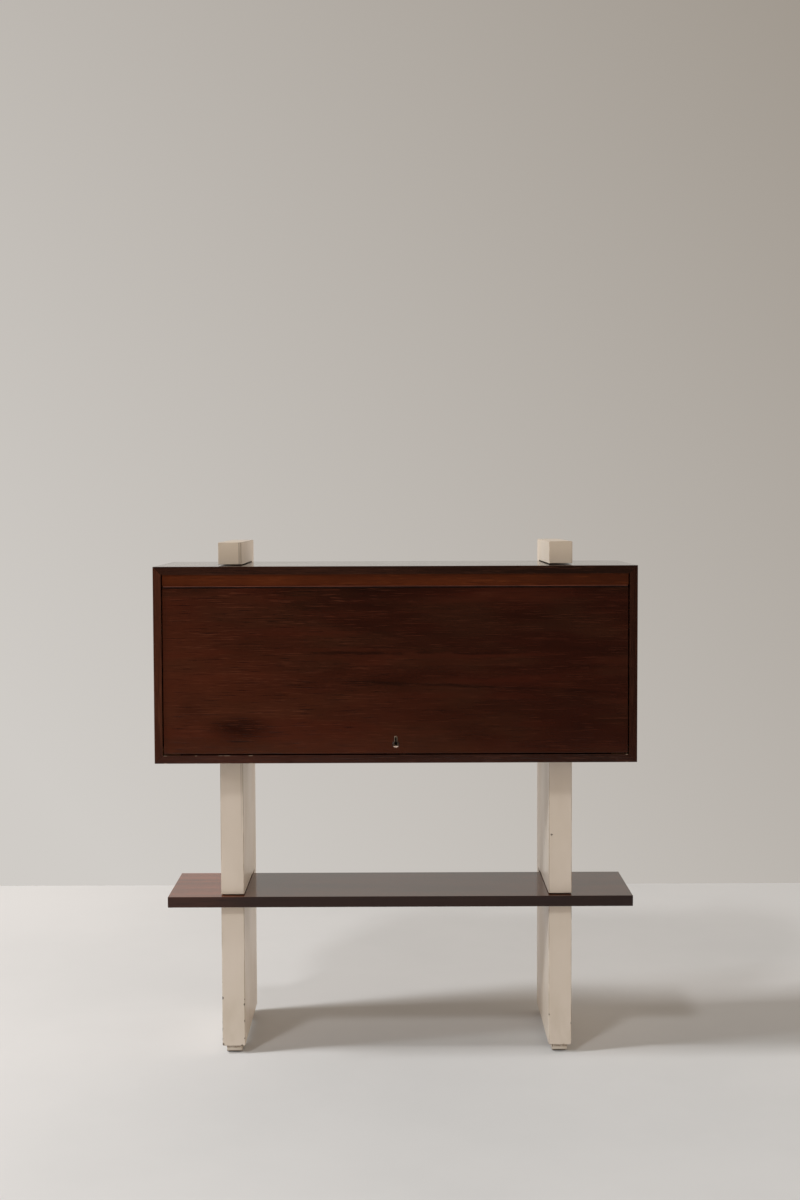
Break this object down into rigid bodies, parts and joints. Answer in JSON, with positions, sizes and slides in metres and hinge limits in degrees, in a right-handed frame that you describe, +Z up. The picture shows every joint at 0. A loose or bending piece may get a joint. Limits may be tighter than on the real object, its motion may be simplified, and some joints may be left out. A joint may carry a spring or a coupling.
{
  "type": "wall unit cabinet",
  "caption": "Free-standing wall unit: slotted cream-lacquered slab uprights carry a dark rosewood case with a lockable lift-up flap and a loose sliding shelf below.",
  "frame": {"origin": "on the floor under the middle of the bounding box", "axes": "+X to the right seen from the front, +Y to the back, +Z up; the flap faces -Y"},
  "size_m": [1.2, 0.44, 1.308],
  "materials": {
    "rosewood": "dark straight-grained rosewood veneer, satin varnish",
    "rail_rosewood": "lighter red-brown rosewood, satin varnish",
    "lacquer": "cream lacquer on wood, satin, chipped along the low arrises",
    "plywood": "stained plywood",
    "beech": "plain beech",
    "hinge_brass": "aged dark brass",
    "keyhole_nickel": "worn nickel plate on brass",
    "lock_steel": "zinc-plated steel",
    "bolt_brass": "plain brass",
    "screw_steel": "slotted steel screws",
    "stay_nickel": "nickel-plated steel",
    "felt": "dark felt"
  },
  "bodies": {
    "frame": {"case_top": "rosewood", "case_bottom": "rosewood", "case_left_side": "rosewood", "case_right_side": "rosewood", "top_rail": "rail_rosewood", "left_upright": "lacquer", "right_upright": "lacquer", "back_panel": "plywood", "mitre_tongues": "plywood", "rail_dowels": "beech", "hinge_rail_leaf": "hinge_brass", "hinge_pin": "hinge_brass", "rail_hinge_screws": "hinge_brass", "strike_plate": "bolt_brass", "back_panel_screws": "screw_steel", "case_screws": "screw_steel", "foot_screws": "screw_steel", "strike_screws": "screw_steel", "left_flap_stop": "beech", "left_stop_buffer": "felt", "left_stay_plate": "stay_nickel", "left_stay_washer": "stay_nickel", "left_stay_nut": "stay_nickel", "left_stay_plate_screws": "screw_steel", "left_front_foot": "lacquer", "left_front_foot_pad": "felt", "left_rear_foot": "lacquer", "left_rear_foot_pad": "felt", "right_flap_stop": "beech", "right_stop_buffer": "felt", "right_stay_plate": "stay_nickel", "right_stay_washer": "stay_nickel", "right_stay_nut": "stay_nickel", "right_stay_plate_screws": "screw_steel", "right_front_foot": "lacquer", "right_front_foot_pad": "felt", "right_rear_foot": "lacquer", "right_rear_foot_pad": "felt"},
    "flap": {"flap_panel": "rosewood", "hinge_flap_leaf": "hinge_brass", "flap_hinge_screws": "hinge_brass", "escutcheon": "keyhole_nickel", "lock_plate": "lock_steel", "lock_case": "lock_steel", "bolt_spring": "lock_steel", "drill_pin": "lock_steel", "lock_screws": "screw_steel", "left_stay_bracket": "stay_nickel", "left_bracket_screws": "screw_steel", "left_stay_rivet": "stay_nickel", "right_stay_bracket": "stay_nickel", "right_bracket_screws": "screw_steel", "right_stay_rivet": "stay_nickel"},
    "bolt": {"lock_bolt": "bolt_brass"},
    "left_arm": {"left_stay_arm": "stay_nickel"},
    "right_arm": {"right_stay_arm": "stay_nickel"},
    "shelf": {"shelf": "rosewood"}
  },
  "joints": [
    {"name": "flap_hinge", "type": "hinge", "parent": "frame", "child": "flap", "pos_m": [0, -0.217, 1.199], "axis": [-1, 0, 0], "range_deg": [0, 90]},
    {"name": "left_arm_pivot", "type": "hinge", "parent": "flap", "child": "left_arm", "pos_m": [-0.575, -0.1876, 1.093], "axis": [-1, 0, 0], "range_deg": [-45, 0]},
    {"name": "right_arm_pivot", "type": "hinge", "parent": "flap", "child": "right_arm", "pos_m": [0.575, -0.1876, 1.093], "axis": [-1, 0, 0], "range_deg": [-45, 0]},
    {"name": "bolt_slide", "type": "slide", "parent": "flap", "child": "bolt", "axis": [0, 0, -1], "range_m": [0, 0.008]},
    {"name": "shelf_slide", "type": "slide", "parent": "frame", "child": "shelf", "axis": [0, 1, 0], "range_m": [-0.06, 0.045]}
  ],
  "couplings": [
    {"joint": "left_arm_pivot", "follows": "flap_hinge", "ratio": -0.5},
    {"joint": "right_arm_pivot", "follows": "flap_hinge", "ratio": -0.5}
  ]
}
